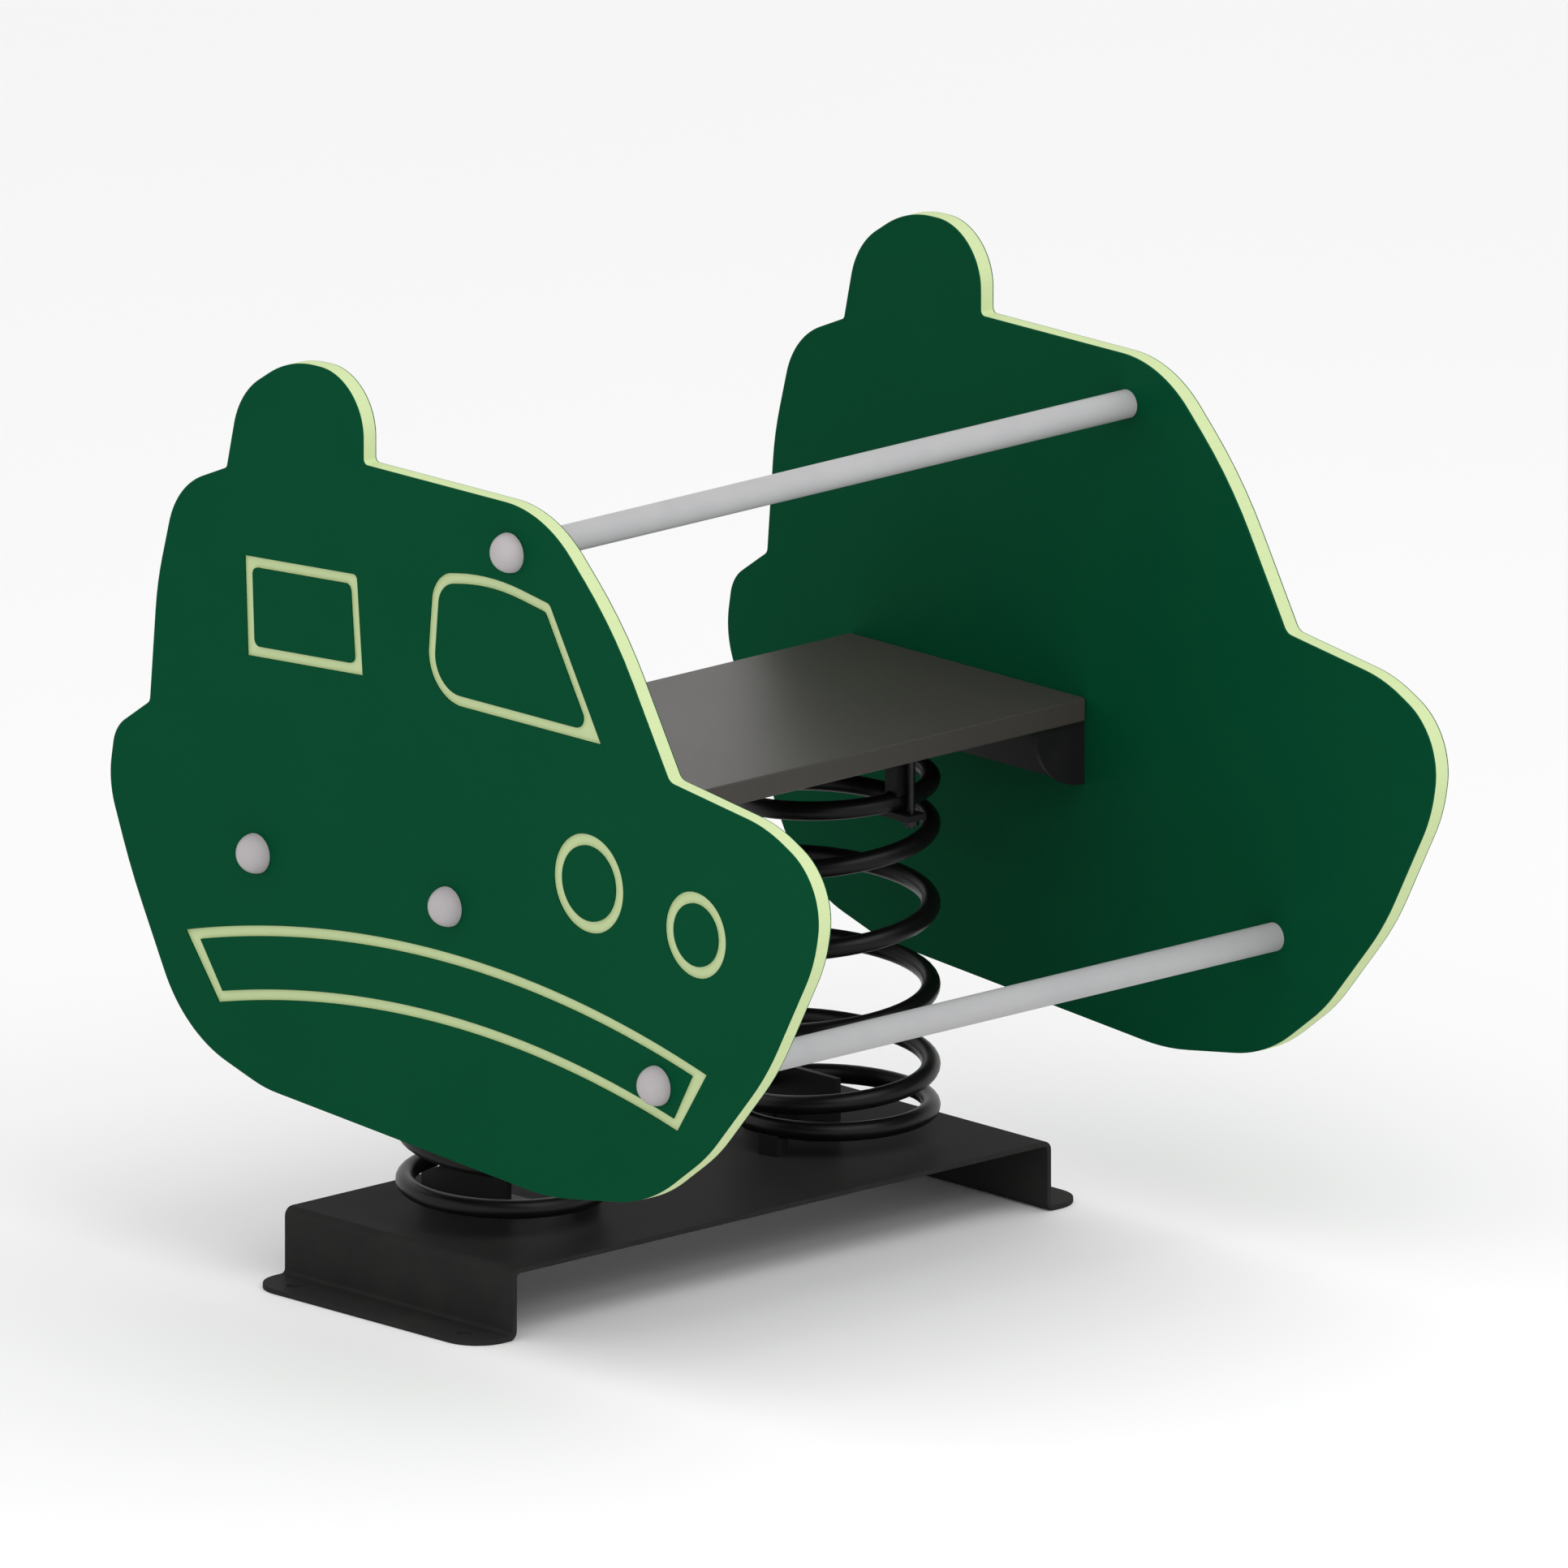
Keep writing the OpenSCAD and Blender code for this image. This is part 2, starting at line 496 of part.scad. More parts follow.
base_frame();
lower_anchor(-1);  // lower_anchor_right
lower_anchor(1);  // lower_anchor_left
anchor_screws();
anchor_nuts();
lower_saddle(-1);  // lower_saddle_right
lower_saddle(1);  // lower_saddle_left
spring(-1);  // spring_right
spring(1);  // spring_left
top_plate(-1);  // top_plate_right
top_plate(1);  // top_plate_left
top_plate_screws();
upper_hanger(-1);  // upper_hanger_right
upper_hanger(1);  // upper_hanger_left
upper_saddle(-1);  // upper_saddle_right
upper_saddle(1);  // upper_saddle_left
upper_clamp(-1);  // upper_clamp_right
upper_clamp(1);  // upper_clamp_left
upper_studs();
upper_stud_nuts();
seat_board();
seat_bracket(-1);  // seat_bracket_right
seat_bracket(1);  // seat_bracket_left
seat_screws();
side_panel(-1);  // side_panel_right
side_panel(1);  // side_panel_left
bracket_bolts();
bracket_washers();
bracket_nuts();
handrail();
handrail_inserts();
handrail_bolts();
footrest();
footrest_inserts();
footrest_bolts();
cap_cups(-1);  // cap_cups_right
cap_cups(1);  // cap_cups_left
dome_caps(-1);  // dome_caps_right
dome_caps(1);  // dome_caps_left
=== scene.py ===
import math

import bmesh
import bpy
from mathutils import Matrix, Vector


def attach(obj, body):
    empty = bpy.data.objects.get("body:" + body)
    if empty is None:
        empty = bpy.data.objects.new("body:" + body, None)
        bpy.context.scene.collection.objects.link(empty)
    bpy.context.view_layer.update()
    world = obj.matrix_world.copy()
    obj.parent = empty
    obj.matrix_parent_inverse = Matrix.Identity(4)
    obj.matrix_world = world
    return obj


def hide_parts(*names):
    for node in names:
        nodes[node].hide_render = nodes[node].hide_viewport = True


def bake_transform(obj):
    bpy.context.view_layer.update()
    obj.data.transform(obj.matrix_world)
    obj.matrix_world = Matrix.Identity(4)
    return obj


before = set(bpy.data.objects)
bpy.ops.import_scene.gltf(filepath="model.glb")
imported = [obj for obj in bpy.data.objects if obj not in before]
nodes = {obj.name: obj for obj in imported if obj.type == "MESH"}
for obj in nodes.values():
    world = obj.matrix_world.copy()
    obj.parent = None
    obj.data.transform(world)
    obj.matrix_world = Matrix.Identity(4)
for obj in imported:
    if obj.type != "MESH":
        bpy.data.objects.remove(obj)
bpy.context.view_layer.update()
sides = {"Right": -1, "Left": 1}  # the riders' right is -Y
print("frame loaded:", len(nodes), "nodes")


# handling meshes
def deselectAll():
    if bpy.context.mode != "OBJECT":
        bpy.ops.object.mode_set(mode="OBJECT")
    bpy.ops.object.select_all(action="DESELECT")


def takeUp(piece):  # the only selected object, and the active one
    deselectAll()
    piece.select_set(True)
    bpy.context.view_layer.objects.active = piece


def startEdit(piece):
    takeUp(piece)
    bpy.ops.object.mode_set(mode="EDIT")
    bpy.ops.mesh.select_mode(type="VERT")
    bpy.ops.mesh.select_all(action="DESELECT")


def stopEdit():
    bpy.ops.mesh.select_all(action="SELECT")
    bpy.ops.mesh.normals_make_consistent(inside=False)
    bpy.ops.object.mode_set(mode="OBJECT")


def pick(piece, kind, test):  # kind is verts, edges or faces
    bpy.ops.mesh.select_all(action="DESELECT")
    bpy.ops.mesh.select_mode(type={"verts": "VERT", "edges": "EDGE", "faces": "FACE"}[kind])
    mesh = bmesh.from_edit_mesh(piece.data)
    mesh.normal_update()
    for item in getattr(mesh, kind):
        item.select_set(bool(test(item)))
    mesh.select_flush_mode()
    bmesh.update_edit_mesh(piece.data)


def middle(item):
    return sum((v.co for v in item.verts), Vector()) / len(item.verts)


def settle(piece, name):  # its place goes into its mesh
    piece.name = name
    piece.data.name = name
    piece.data.transform(piece.matrix_world)
    piece.matrix_world = Matrix.Identity(4)
    return piece


def modify(piece, kind, **settings):
    takeUp(piece)
    added = piece.modifiers.new(kind, kind)
    for key, value in settings.items():
        setattr(added, key, value)
    bpy.ops.object.modifier_apply(modifier=added.name)


def smooth(piece, degrees=35):  # rounded edges shade smoothly, broad faces stay flat
    takeUp(piece)
    bpy.ops.object.shade_smooth_by_angle(angle=math.radians(degrees))
    modify(piece, "WEIGHTED_NORMAL", keep_sharp=True, weight=70)


def breakEdges(piece, width):
    modify(piece, "BEVEL", width=width, segments=2,
           limit_method="ANGLE", angle_limit=math.radians(50))


def cutAway(piece, tool):
    modify(piece, "BOOLEAN", operation="DIFFERENCE", solver="EXACT", object=tool)
    bpy.data.objects.remove(tool)


def joined(pieces, name):
    deselectAll()
    for p in pieces:
        p.select_set(True)
    bpy.context.view_layer.objects.active = pieces[0]
    bpy.ops.object.join()
    return settle(bpy.context.view_layer.objects.active, name)


def copied(piece, place):  # another one like it, moved or turned by a matrix
    other = piece.copy()
    other.data = piece.data.copy()
    other.data.transform(place)
    bpy.context.scene.collection.objects.link(other)
    return other


def rodAlongY(name, x, z, fromY, toY, radius, corners=64):
    deselectAll()
    bpy.ops.mesh.primitive_cylinder_add(
        vertices=corners, radius=radius, depth=abs(toY - fromY),
        location=(x, (fromY + toY) / 2, z), rotation=(math.radians(90), 0, 0))
    bpy.context.view_layer.update()
    return settle(bpy.context.object, name)


# outlines of a side panel, in metres: corners are (x, z, corner radius), anticlockwise
def cornerArc(before, at, after, step):
    here, radius = Vector(at[:2]), at[2]
    if radius <= 0:
        return [here]
    a = (Vector(before[:2]) - here).normalized()
    b = (Vector(after[:2]) - here).normalized()
    half = a.angle(b) / 2
    centre = here + (a + b).normalized() * radius / math.sin(half)
    start = here + a * radius / math.tan(half) - centre
    turn = -math.copysign(math.pi - 2 * half, a.x * b.y - a.y * b.x)
    count = max(1, math.ceil(abs(turn) / math.radians(step)))
    angle = math.atan2(start.y, start.x)
    steps = [angle + turn * i / count for i in range(count + 1)]
    return [centre + radius * Vector((math.cos(step), math.sin(step))) for step in steps]


def roundedLoop(corners, step=3):
    count = len(corners)
    loop = []
    for i in range(count):
        loop += cornerArc(corners[i - 1], corners[i], corners[(i + 1) % count], step)
    return loop


def insetCorners(corners, by, radii):
    moved = []
    for i, corner in enumerate(corners):
        here = Vector(corner[:2])
        before = (here - Vector(corners[i - 1][:2])).normalized()
        after = (Vector(corners[(i + 1) % len(corners)][:2]) - here).normalized()
        m, k = Vector((-before.y, before.x)), Vector((-after.y, after.x))
        point = here + (m + k) * by / (1 + m.dot(k))
        moved.append((point.x, point.y, radii[i]))
    return moved


def circleLoop(centre, radius, count=96):
    return [Vector((centre[0] + radius * math.cos(math.tau * i / count),
                    centre[1] + radius * math.sin(math.tau * i / count))) for i in range(count)]


def bumperLoop(band, by):
    def arc(radius, fromX, toX, count=48):
        a = math.acos((fromX - band["centre"][0]) / radius)
        b = math.acos((toX - band["centre"][0]) / radius)
        return [Vector((band["centre"][0] + radius * math.cos(a + (b - a) * i / count),
                        band["centre"][1] + radius * math.sin(a + (b - a) * i / count)))
                for i in range(count + 1)]
    (rearUpper, rearLower), (frontLower, frontUpper) = band["ends"]
    return (arc(band["radii"][0] + by, rearLower + by / 2, frontLower - by / 2)
            + arc(band["radii"][1] - by, frontUpper - 2 * by, rearUpper + 2 * by))


def slab(name, loop, fromY, depth, drop=0.0):
    deselectAll()
    bpy.ops.mesh.primitive_circle_add(vertices=len(loop), radius=0.3, fill_type="NGON")
    piece = settle(bpy.context.object, name)
    startEdit(piece)
    mesh = bmesh.from_edit_mesh(piece.data)
    for vert, point in zip(mesh.verts, loop):
        vert.co = (point.x, fromY, point.y - drop)
    bmesh.update_edit_mesh(piece.data)
    bpy.ops.mesh.select_all(action="SELECT")
    bpy.ops.mesh.extrude_region_move(TRANSFORM_OT_translate={"value": (0, depth, 0)})
    stopEdit()
    return piece


def metres(rows):
    return [tuple(value / 1000 for value in row) for row in rows]


panel = {
    "thickness": 0.018,
    "innerY": 0.381,
    "edgeRadius": 0.0012,
    "engraveDepth": 0.0025,
    "lineWidth": 0.010,
    "lampRingWidth": 0.011,
    "drop": 0.0002,
    "outline": metres([
        (14, 822, 5), (14, 905, 58), (-86, 903, 115), (-154, 858, 80), (-171, 783, 6),
        (-239, 753, 80), (-265, 655, 300), (-275, 539, 8), (-322, 506, 38), (-331, 452, 90),
        (-300, 372, 600), (-228, 232, 140), (-120, 199, 150), (265, 169.5, 260),
        (400, 190, 170), (480, 250, 200), (560, 343, 300), (625, 462, 150), (638, 541, 70),
        (560, 581, 150), (429, 599, 12), (352, 730, 420), (258, 824, 125)]),
    "rearWindow": metres([(-142, 609, 0), (14, 620, 0), (6, 715, 5), (-146, 704, 0)]),
    "rearWindowInner": [0.007, 0.007, 0.007, 0.007],
    "frontWindow": metres([
        (98, 616, 45), (337, 617, 0), (267, 738, 8), (186, 751, 260), (109, 737, 34)]),
    "frontWindowInner": [0.034, 0.010, 0.008, 0.240, 0.024],
    "lamps": [((0.320, 0.481), 0.047), ((0.465, 0.460), 0.041)],
    "bumper": {
        "centre": (0.125, -0.945),
        "radii": (1.2525, 1.3225),
        "ends": ((-0.226, -0.181), (0.440, 0.480)),
    },
}


def engravedLines():  # an outer and an inner loop for each engraved line
    width, ring = panel["lineWidth"], panel["lampRingWidth"]
    pairs = [(roundedLoop(panel[w]), roundedLoop(insetCorners(panel[w], width, panel[w + "Inner"])))
             for w in ("rearWindow", "frontWindow")]
    pairs += [(circleLoop(c, r), circleLoop(c, r - ring)) for c, r in panel["lamps"]]
    pairs.append((bumperLoop(panel["bumper"], 0), bumperLoop(panel["bumper"], width)))
    return pairs


def sidePanel(name, side):
    inner = side * panel["innerY"]
    outer = inner + side * panel["thickness"]
    board = slab(name, roundedLoop(panel["outline"]), inner, outer - inner, panel["drop"])
    startEdit(board)
    pick(board, "edges", lambda e: abs(e.verts[0].co.y - e.verts[1].co.y) < 1e-5)
    bpy.ops.mesh.bevel(offset=panel["edgeRadius"], segments=3, affect="EDGES")
    stopEdit()
    floorY = outer - side * panel["engraveDepth"]
    for outside, inside in engravedLines():
        cutter = slab("cutter", outside, floorY, side * 0.01, panel["drop"])
        cutAway(cutter, slab("island", inside, floorY - side * 0.01, side * 0.03, panel["drop"]))
        cutAway(board, cutter)
    smooth(board, 30)
    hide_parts("side_panel_" + name[9:].lower())
    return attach(board, "rider")


sidePanels = [sidePanel("sidePanel" + name, side) for name, side in sides.items()]
print("side panels engraved")


# seat board: one flat board with eased edges
seat = {
    "depth": 0.320,
    "length": 0.760,
    "thickness": 0.022,
    "underZ": 0.4628,
    "corner": 0.004,
    "edge": 0.0018,
}


def seatBoard():
    deselectAll()
    bpy.ops.mesh.primitive_cube_add(
        size=1, location=(0, 0, seat["underZ"] + seat["thickness"] / 2),
        scale=(seat["depth"], seat["length"], seat["thickness"]))
    board = settle(bpy.context.object, "seatBoard")
    startEdit(board)
    pick(board, "edges", lambda e: abs(e.verts[0].co.z - e.verts[1].co.z) > 0.01)
    bpy.ops.mesh.bevel(offset=seat["corner"], segments=6, affect="EDGES")
    pick(board, "edges", lambda e: e.calc_face_angle(0) > 1.2)
    bpy.ops.mesh.bevel(offset=seat["edge"], segments=4, affect="EDGES")
    stopEdit()
    smooth(board, 40)
    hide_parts("seat_board")
    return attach(board, "rider")


seatPiece = seatBoard()
print("seat board made")


# handrail and footrest: open tubes between the panels
tubes = {
    "radius": 0.01345,
    "wall": 0.0026,
    "edge": 0.0005,
    "halfLength": 0.381,
    "handrail": (0.214, 0.7768),
    "footrest": (0.413, 0.3058),
}


def tube(name, at):
    half = tubes["halfLength"]
    rod = rodAlongY(name, at[0], at[1], -half, half, tubes["radius"], 72)
    startEdit(rod)
    pick(rod, "faces", lambda f: abs(f.normal.y) > 0.9)
    bpy.ops.mesh.inset(thickness=tubes["wall"], use_individual=True)
    bpy.ops.mesh.bridge_edge_loops()  # the two inset ends open into one bore
    pick(rod, "edges", lambda e: e.calc_face_angle(0) > 1.2)
    bpy.ops.mesh.bevel(offset=tubes["edge"], segments=2, affect="EDGES")
    stopEdit()
    smooth(rod, 40)
    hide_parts(name)
    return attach(rod, "rider")


tubePieces = [tube(name, tubes[name]) for name in ("handrail", "footrest")]
print("tubes bored")


# dome caps over the panel bolts
cap = {
    "diameter": 0.038,
    "height": 0.019,
    "wall": 0.002,
    "onPanelY": 0.399,
    "gap": 0.0002,  # to the panel
    "hollow": 0.003,  # how deep the underside is cut back
    "lip": 0.0006,
    "places": [(-0.130, 0.4218), (0.130, 0.4218), (0.214, 0.7768), (0.413, 0.3058)],
}


def domeCap():
    ball = (cap["diameter"] ** 2 / 4 + cap["height"] ** 2) / (2 * cap["height"])
    deselectAll()
    bpy.ops.mesh.primitive_uv_sphere_add(
        segments=64, ring_count=48, radius=ball, location=(0, cap["height"] - ball, 0),
        rotation=(math.radians(90), 0, 0))
    bpy.context.view_layer.update()
    dome = settle(bpy.context.object, "domeCap")
    startEdit(dome)
    bpy.ops.mesh.select_all(action="SELECT")
    bpy.ops.mesh.bisect(
        plane_co=(0, cap["gap"], 0), plane_no=(0, 1, 0), clear_inner=True, use_fill=True)
    pick(dome, "faces", lambda f: f.normal.y < -0.9 and abs(middle(f).y) < 2 * cap["gap"])
    bpy.ops.mesh.inset(thickness=cap["wall"])
    bpy.ops.mesh.extrude_region_move(TRANSFORM_OT_translate={"value": (0, cap["hollow"], 0)})
    pick(dome, "edges", lambda e: e.calc_face_angle(0) > 0.8 and middle(e).y < 2 * cap["gap"])
    bpy.ops.mesh.bevel(offset=cap["lip"], segments=3, affect="EDGES")
    stopEdit()
    return dome


def domeCaps():
    dome = domeCap()
    rows = []
    for name, side in sides.items():
        turn = Matrix.Rotation(0 if side > 0 else math.pi, 4, "Z")
        row = joined([copied(dome, Matrix.Translation((x, side * cap["onPanelY"], z)) @ turn)
                      for x, z in cap["places"]], "domeCaps" + name)
        smooth(row, 40)
        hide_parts("dome_caps_" + name.lower())
        rows.append(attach(row, "rider"))
    bpy.data.objects.remove(dome)
    return rows


capPieces = domeCaps()
print("dome caps placed")


# base: a plate folded down and out into two feet
base = {
    "width": 0.310,
    "length": 0.680,
    "height": 0.068,
    "sheet": 0.005,
    "foldRadius": 0.0065,  # to the middle of the sheet
    "foot": 0.048,
    "footCorner": 0.036,
    "holeRadius": 0.007,
    "holes": (0.115, 0.365),
    "edge": 0.0007,
    "foldSteps": 6,
    "cornerSteps": 12,
}


def baseFrame():
    half = base["sheet"] / 2
    top, low = base["height"] - half, half
    deselectAll()
    bpy.ops.mesh.primitive_plane_add(size=1, location=(0, 0, top))
    bpy.context.object.scale = (base["width"], base["length"] - base["sheet"], 1)
    bpy.context.view_layer.update()
    plate = settle(bpy.context.object, "baseFrame")
    startEdit(plate)
    edgeY = base["length"] / 2 - half
    for side in sides.values():
        pick(plate, "edges", lambda e: abs(middle(e).y - side * edgeY) < 1e-5)
        for way in ((0, 0, low - top), (0, side * (base["foot"] + half), 0)):
            bpy.ops.mesh.extrude_edges_move(TRANSFORM_OT_translate={"value": way})
    pick(plate, "edges",
         lambda e: e.calc_face_angle(0) > 1 and abs(e.verts[0].co.x - e.verts[1].co.x) > 0.1)
    bpy.ops.mesh.bevel(offset=base["foldRadius"], segments=base["foldSteps"], affect="EDGES")
    reach = base["length"] / 2 + base["foot"]
    pick(plate, "verts", lambda v: abs(abs(v.co.y) - reach) < 1e-4)
    bpy.ops.mesh.bevel(offset=base["footCorner"], segments=base["cornerSteps"], affect="VERTICES")
    stopEdit()
    modify(plate, "SOLIDIFY", thickness=base["sheet"], offset=0, use_even_offset=True)
    startEdit(plate)
    stopEdit()
    for x in (-base["holes"][0], base["holes"][0]):
        for y in (-base["holes"][1], base["holes"][1]):
            deselectAll()
            bpy.ops.mesh.primitive_cylinder_add(
                vertices=48, radius=base["holeRadius"], depth=0.03, location=(x, y, 0))
            bpy.context.view_layer.update()
            cutAway(plate, settle(bpy.context.object, "drill"))
    breakEdges(plate, base["edge"])
    smooth(plate, 35)
    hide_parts("base_frame")
    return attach(plate, "base")


basePiece = baseFrame()
print("base folded")


# springs: round wire coiled on a rising path, each in a lower and an upper half
spring = {
    "wire": 0.009,
    "coil": 0.091,
    "axisY": 0.208,
    "ringZ": 0.094,
    "pitch": 0.078,
    "turns": 5,
    "lowEase": (-0.3, 1.6),  # turn at which the bottom ring begins to rise, turns to the full pitch
    "highEase": (-0.5, 1.8),  # the same for the top ring, counted down
    "lowEnd": -0.415,
    "highEnd": 5.561,
    "startAngle": 47,
    "pointsPerTurn": 48,
    "roundness": 10,
    "endEdge": 0.0012,
    "giveFrom": 0.115,  # two heights on the coils, from and to
    "giveTo": 0.400,
}


def eased(turn, ease):
    past = turn - ease[0]
    if past < 0:
        return 0
    if past < ease[1]:
        return spring["pitch"] * past ** 2 / (2 * ease[1])
    return spring["pitch"] * (past - ease[1] / 2)


def wireZ(turn):
    half = spring["turns"] / 2
    low, high = spring["lowEase"], spring["highEase"]
    if turn < half:
        return spring["ringZ"] + eased(turn, low)
    rise = eased(half, low) + eased(half, high)
    return spring["ringZ"] + rise - eased(spring["turns"] - turn, high)


def wirePoint(turn, side):  # the two springs wind opposite ways, as mirror images
    angle = math.radians(spring["startAngle"] + 360 * turn)
    outFromAxis = spring["axisY"] + spring["coil"] * math.sin(angle)
    return Vector((spring["coil"] * math.cos(angle), side * outFromAxis, wireZ(turn)))


def coil(name, side, fromTurn, toTurn):
    count = round((toTurn - fromTurn) * spring["pointsPerTurn"])
    deselectAll()
    bpy.ops.curve.primitive_nurbs_path_add()
    path = bpy.context.object
    line = path.data
    line.splines.clear()
    run = line.splines.new("POLY")
    run.points.add(count)
    for i in range(count + 1):
        run.points[i].co = (*wirePoint(fromTurn + (toTurn - fromTurn) * i / count, side), 1)
    line.dimensions = "3D"
    line.twist_mode = "MINIMUM"
    line.bevel_depth = spring["wire"]
    line.bevel_resolution = spring["roundness"]
    line.use_fill_caps = True
    path.location = (0, 0, 0)
    takeUp(path)
    bpy.ops.object.convert(target="MESH")
    half = settle(bpy.context.object, name)
    startEdit(half)
    bpy.ops.mesh.select_all(action="SELECT")
    bpy.ops.mesh.remove_doubles(threshold=1e-6)
    cutEnd = wirePoint(fromTurn if fromTurn < 0 else toTurn, side)
    nearEnd = 1.2 * spring["wire"]
    pick(half, "edges",
         lambda e: e.calc_face_angle(0) > 1.2 and (middle(e) - cutEnd).length < nearEnd)
    bpy.ops.mesh.bevel(offset=spring["endEdge"], segments=3, affect="EDGES")
    stopEdit()
    smooth(half, 40)
    return half


def springPair(name, side):
    meet = spring["turns"] / 2
    low = coil("spring" + name + "Lower", side, spring["lowEnd"], meet)
    high = coil("spring" + name + "Upper", side, meet, spring["highEnd"])
    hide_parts("spring_" + name.lower())
    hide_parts("spring_" + name.lower())
    still = spring["wire"] * 1.5  # half the height of a band where the halves meet
    wireZ(meet) - still
    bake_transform(low)
    wireZ(meet) + still
    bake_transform(high)
    return [low, high]


springPieces = [half for name, side in sides.items() for half in springPair(name, side)]
print("springs coiled")


# plates and brackets keep their exact shapes, with their edges broken
softened = {
    "seat_bracket_right": 0.0006, "seat_bracket_left": 0.0006,
    "top_plate_right": 0.0006, "top_plate_left": 0.0006,
    "upper_hanger_right": 0.0005, "upper_hanger_left": 0.0005,
    "lower_anchor_right": 0.0005, "lower_anchor_left": 0.0005,
    "lower_saddle_right": 0.0006, "lower_saddle_left": 0.0006,
    "upper_clamp_right": 0.0007, "upper_clamp_left": 0.0007,
}


def pieceName(node):
    first, *rest = node.split("_")
    return first + "".join(word.capitalize() for word in rest)


def softenedCopy(node, width):
    piece = copied(nodes[node], Matrix.Identity(4))
    piece.parent = None
    for key in list(piece.keys()):
        del piece[key]
    piece.name = piece.data.name = pieceName(node)
    startEdit(piece)
    bpy.ops.mesh.select_all(action="SELECT")
    bpy.ops.mesh.customdata_custom_splitnormals_clear()
    bpy.ops.mesh.remove_doubles(threshold=1e-6)
    bpy.ops.mesh.dissolve_limited(angle_limit=math.radians(0.5))
    bpy.ops.object.mode_set(mode="OBJECT")
    breakEdges(piece, width)
    smooth(piece, 35)
    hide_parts(node)
    body = "base" if node.startswith("lower") else "rider"
    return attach(piece, body)


plates = [softenedCopy(node, width) for node, width in softened.items()]
print("plates softened:", len(plates))


# finishes
class Wire:  # a link in a material: sums and products of it add Math nodes
    def __init__(self, tree, socket=None):
        self.tree = tree
        self.socket = socket

    def node(self, kind, settings, values, output=0):
        made = self.tree.nodes.new(kind)
        for key, value in settings.items():
            setattr(made, key, value)
        for key, value in values.items():
            if isinstance(value, Wire):
                self.tree.links.new(value.socket, made.inputs[key])
            else:
                made.inputs[key].default_value = value
        return Wire(self.tree, made.outputs[output] if len(made.outputs) else None)

    def maths(self, operation, *terms):
        return self.node("ShaderNodeMath", {"operation": operation}, dict(enumerate(terms)))

    def __add__(self, other):
        return self.maths("ADD", self, other)

    def __radd__(self, other):
        return self.maths("ADD", other, self)

    def __sub__(self, other):
        return self.maths("SUBTRACT", self, other)

    def __rsub__(self, other):
        return self.maths("SUBTRACT", other, self)

    def __mul__(self, other):
        return self.maths("MULTIPLY", self, other)

    def __rmul__(self, other):
        return self.maths("MULTIPLY", other, self)

    def __lt__(self, other):
        return self.maths("LESS_THAN", self, other)

    def __gt__(self, other):
        return self.maths("GREATER_THAN", self, other)

    def __abs__(self):
        return self.maths("ABSOLUTE", self)


def shade(red, green, blue):  # a colour as seen on a screen, 0 to 255
    def linear(value):
        value /= 255
        return value / 12.92 if value <= 0.04045 else ((value + 0.055) / 1.055) ** 2.4
    return (linear(red), linear(green), linear(blue), 1)


def clamped(value):
    return value.maths("MINIMUM", value.maths("MAXIMUM", value, 0.0), 1.0)


def along(place, axis):
    return place.node("ShaderNodeSeparateXYZ", {}, {0: place}, axis)


def stretched(place, x, y, z):
    return place.node("ShaderNodeVectorMath", {"operation": "MULTIPLY"}, {0: place, 1: (x, y, z)})


def cloud(place, size, detail=2.0, rough=0.5):  # noise whose grains are about size metres across
    values = {"Vector": place, "Scale": 1 / size, "Detail": detail, "Roughness": rough}
    return place.node("ShaderNodeTexNoise", {}, values)


def between(factor, first, second):
    return factor.node("ShaderNodeMix", {"data_type": "RGBA"}, {0: factor, 6: first, 7: second}, 2)


def raised(height, distance, strength=1.0):
    values = {"Strength": strength, "Distance": distance, "Height": height}
    return height.node("ShaderNodeBump", {}, values)


def finish(name, recipe):
    material = bpy.data.materials.new(name)
    material.use_nodes = True
    tree = material.node_tree
    tree.nodes.clear()
    start = Wire(tree)
    place = start.node("ShaderNodeTexCoord", {}, {}, "Object")
    shader = start.node("ShaderNodeBsdfPrincipled", {}, recipe(place))
    start.node("ShaderNodeOutputMaterial", {}, {"Surface": shader})
    return material


layered = {
    "middleY": 0.390,
    "coreHalf": 0.0073,  # the skins are 1.7 mm thick
    "skin": shade(2, 70, 43),
    "skinWorn": shade(5, 76, 48),
    "core": shade(199, 215, 164),
    "coreDull": shade(191, 207, 155),
    "grain": 0.0009,
    "roughness": 0.55,
}


def layeredRecipe(place):
    ripple = cloud(place, 0.004) - 0.5
    fromMiddle = abs(abs(along(place, "Y")) - layered["middleY"])
    core = (fromMiddle + ripple * 0.0003) < layered["coreHalf"]
    blotch = cloud(place, 0.12, 4.0)
    scuff = clamped((cloud(stretched(place, 1, 1, 3), 0.02, 8.0, 0.72) - 0.58) * 6)
    skin = between(clamped(blotch * 0.5 + scuff * 0.25), layered["skin"], layered["skinWorn"])
    cutMarks = cloud(stretched(place, 1, 0, 1), 0.0022, 2.0)  # left by the router, across the edge
    lime = between(cutMarks, layered["coreDull"], layered["core"])
    grain = cloud(place, layered["grain"], 2.0)
    height = grain * (1 - core * 0.5) + cutMarks * core * 0.7
    return {
        "Base Color": between(core, skin, lime),
        "Roughness": layered["roughness"] + scuff * 0.08 + (grain - 0.5) * 0.12 + core * 0.08,
        "Normal": raised(height, 0.00008),
        "Specular IOR Level": 0.02,
    }


seatSkin = {
    "dark": shade(56, 53, 49),
    "light": shade(68, 64, 60),
    "grain": 0.0011,
    "speck": 0.0035,
    "roughness": 0.42,
}


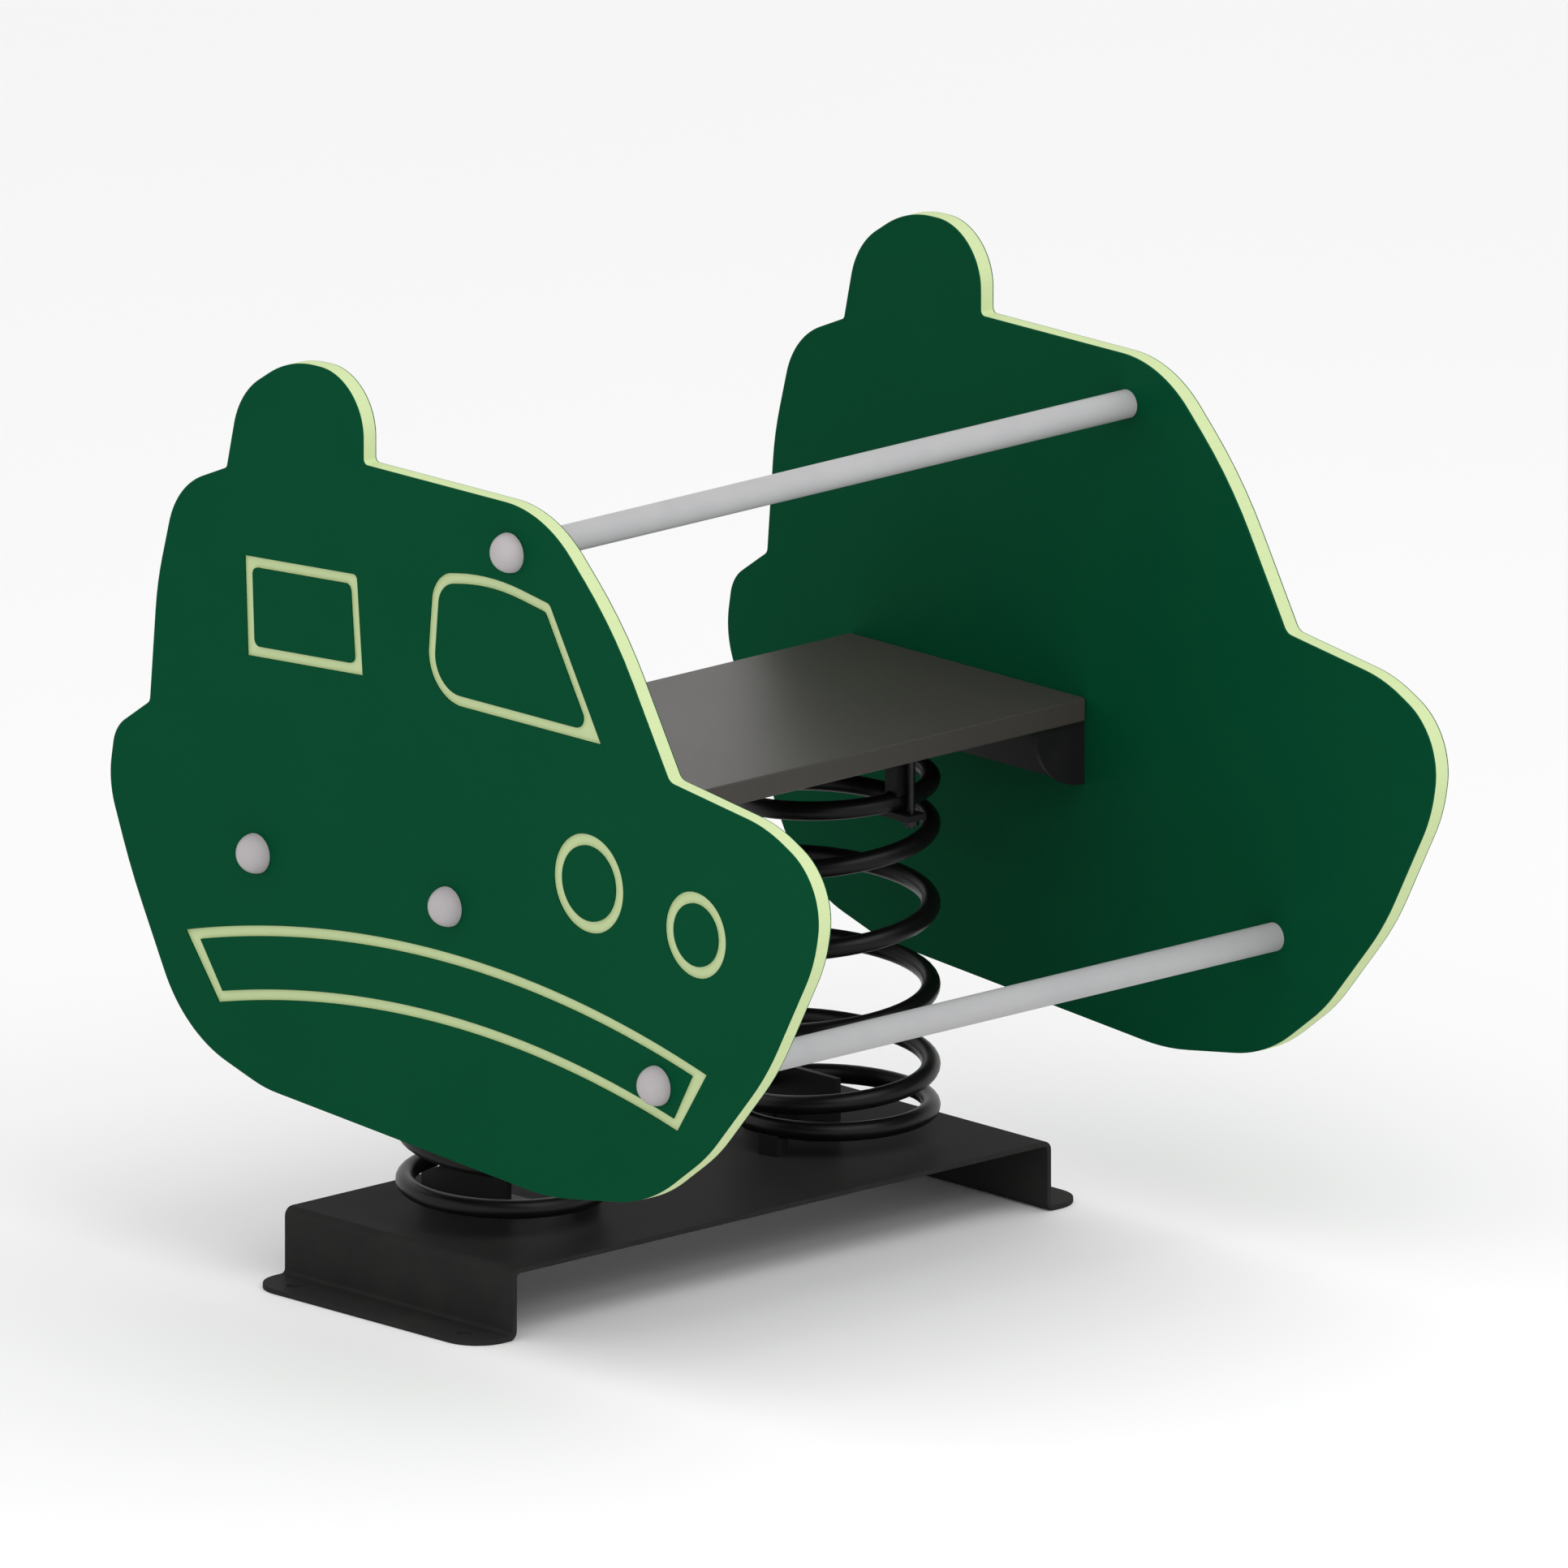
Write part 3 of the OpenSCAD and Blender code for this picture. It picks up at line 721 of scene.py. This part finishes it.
def seatRecipe(place):
    grain = cloud(place, seatSkin["grain"], 3.0, 0.6)
    speck = cloud(place, seatSkin["speck"], 4.0, 0.6)
    worn = clamped(1.4 - cloud(stretched(place, 1, 1, 0), 0.25, 2.0) * 1.6)
    scratch = clamped((cloud(stretched(place, 1, 9, 1), 0.012, 6.0, 0.7) - 0.62) * 7)
    mottle = clamped(speck * 0.7 + grain * 0.3 + scratch * 0.15)
    return {
        "Base Color": between(mottle, seatSkin["dark"], seatSkin["light"]),
        "Roughness": seatSkin["roughness"] + (grain - 0.5) * 0.2 - worn * 0.05 + scratch * 0.06,
        "Normal": raised(grain + speck * 0.4, 0.00018),
        "Specular IOR Level": 0.32,
    }


def coated(colour, dusty, roughness, peel, depth, specular):
    def recipe(place):
        orange = cloud(place, peel, 2.0, 0.45)
        fine = cloud(place, peel * 0.3, 2.0)
        patch = clamped((cloud(place, 0.05, 5.0, 0.6) - 0.42) * 3)
        return {
            "Base Color": between(patch * 0.6 + fine * 0.3, colour, dusty),
            "Roughness": roughness + patch * 0.07 + (fine - 0.5) * 0.08,
            "Normal": raised(orange + fine * 0.25, depth),
            "Specular IOR Level": specular,
        }
    return recipe


def plated(colour, dull, roughness):
    def recipe(place):
        turned = cloud(place, 0.0006, 3.0)
        stain = cloud(place, 0.008, 4.0, 0.6)
        return {
            "Base Color": between(stain, colour, dull),
            "Roughness": roughness + (stain - 0.5) * 0.15 + (turned - 0.5) * 0.1,
            "Metallic": 1.0,
            "Normal": raised(turned, 0.00003),
        }
    return recipe


# material, colour, dusty colour, roughness, size and depth of the orange peel, specular level
coats = {
    "tube": ("greyTubeCoat", (171, 171, 172), (163, 163, 165), 0.42, 0.0016, 0.00003, 0.3),
    "cap": ("capPlastic", (180, 175, 177), (172, 166, 169), 0.42, 0.0014, 0.00003, 0.3),
    "cup": ("cupPlastic", (180, 178, 180), (168, 166, 168), 0.5, 0.0014, 0.00003, 0.5),
    "base": ("blackBaseCoat", (42, 42, 42), (51, 50, 49), 0.42, 0.0014, 0.00004, 0.005),
    "bracket": ("blackBracketCoat", (22, 22, 23), (30, 29, 29), 0.45, 0.0014, 0.00005, 0.15),
    "spring": ("blackSpringCoat", (11, 10, 10), (19, 18, 18), 0.34, 0.0018, 0.00005, 0.2),
}

finishes = {
    "panel": finish("layeredSheet", layeredRecipe),
    "seat": finish("seatPlastic", seatRecipe),
    "blackFastener": finish("blackFasteners", plated(shade(58, 57, 60), shade(44, 43, 45), 0.45)),
    "zinc": finish("zincFasteners", plated(shade(196, 197, 200), shade(168, 168, 170), 0.36)),
}
for kind, (name, colour, dusty, *grain) in coats.items():
    finishes[kind] = finish(name, coated(shade(*colour), shade(*dusty), *grain))

dressed = {
    "panel": sidePanels,
    "seat": [seatPiece],
    "tube": tubePieces,
    "cap": capPieces,
    "base": [basePiece],
    "bracket": plates,
    "spring": springPieces,
}
for kind, pieces in dressed.items():
    for piece in pieces:
        piece.data.materials.clear()
        piece.data.materials.append(finishes[kind])

cadFinish = {
    "cup": ["cap_cups_right", "cap_cups_left"],
    "bracket": ["upper_saddle_right", "upper_saddle_left"],
    "blackFastener": ["anchor_screws", "anchor_nuts", "top_plate_screws", "seat_screws",
                      "upper_studs", "upper_stud_nuts"],
    "zinc": ["bracket_bolts", "bracket_washers", "bracket_nuts",
             "handrail_inserts", "handrail_bolts", "footrest_inserts", "footrest_bolts"],
}
for kind, names in cadFinish.items():
    for name in names:
        for place in nodes[name].material_slots:
            place.material = finishes[kind]
print("finishes on")


# floor, light and camera
studio = {
    "floor": shade(246, 246, 246),
    "floorPatches": shade(244, 244, 244),
    "floorSize": 30,
    "world": 0.98,
    "key": (2.6, -0.4, 3.2),
    "keyPower": 45,
    "keySize": 3.0,
    "aim": (0, 0, 0.4),
}


def studioFloor():
    deselectAll()
    bpy.ops.mesh.primitive_plane_add(size=studio["floorSize"], location=(0, 0, 0))
    floor = settle(bpy.context.object, "studioFloor")
    paint = finish("palePaint", lambda place: {
        "Base Color": between(cloud(place, 1.5), studio["floor"], studio["floorPatches"]),
        "Roughness": 0.9, "Specular IOR Level": 0.1})
    floor.data.materials.append(paint)
    return floor


def softbox(name, at, power, size):
    deselectAll()
    bpy.ops.object.light_add(type="AREA", location=at)
    box = bpy.context.object
    box.name = name
    box.data.energy = power
    box.data.size = size
    box.rotation_mode = "QUATERNION"
    box.rotation_quaternion = (Vector(at) - Vector(studio["aim"])).to_track_quat("Z", "Y")
    return box


studioFloor()
softbox("keyLight", studio["key"], studio["keyPower"], studio["keySize"])
world = bpy.context.scene.world or bpy.data.worlds.new("studioWorld")
bpy.context.scene.world = world
world.use_nodes = True
world.node_tree.nodes["Background"].inputs[0].default_value = (1, 1, 1, 1)
world.node_tree.nodes["Background"].inputs[1].default_value = studio["world"]
bpy.context.scene.view_settings.view_transform = "Standard"

viewpoint = {
    "azimuth": 47,
    "elevation": 15,
    "target": (0, 0.1466, 0.4137),
    "distance": 5.0,
    "width": 1.449,
}


def camera():
    azimuth, elevation = math.radians(viewpoint["azimuth"]), math.radians(viewpoint["elevation"])
    level = math.cos(elevation)
    back = Vector((math.sin(azimuth) * level, -math.cos(azimuth) * level, math.sin(elevation)))
    deselectAll()
    bpy.ops.object.camera_add(location=Vector(viewpoint["target"]) + back * viewpoint["distance"])
    made = bpy.context.object
    made.name = "studioCamera"
    made.rotation_mode = "QUATERNION"
    made.rotation_quaternion = back.to_track_quat("Z", "Y")
    made.data.type = "ORTHO"
    made.data.ortho_scale = viewpoint["width"]
    made.data.clip_end = 60
    bpy.context.scene.camera = made


camera()
print("studio ready")
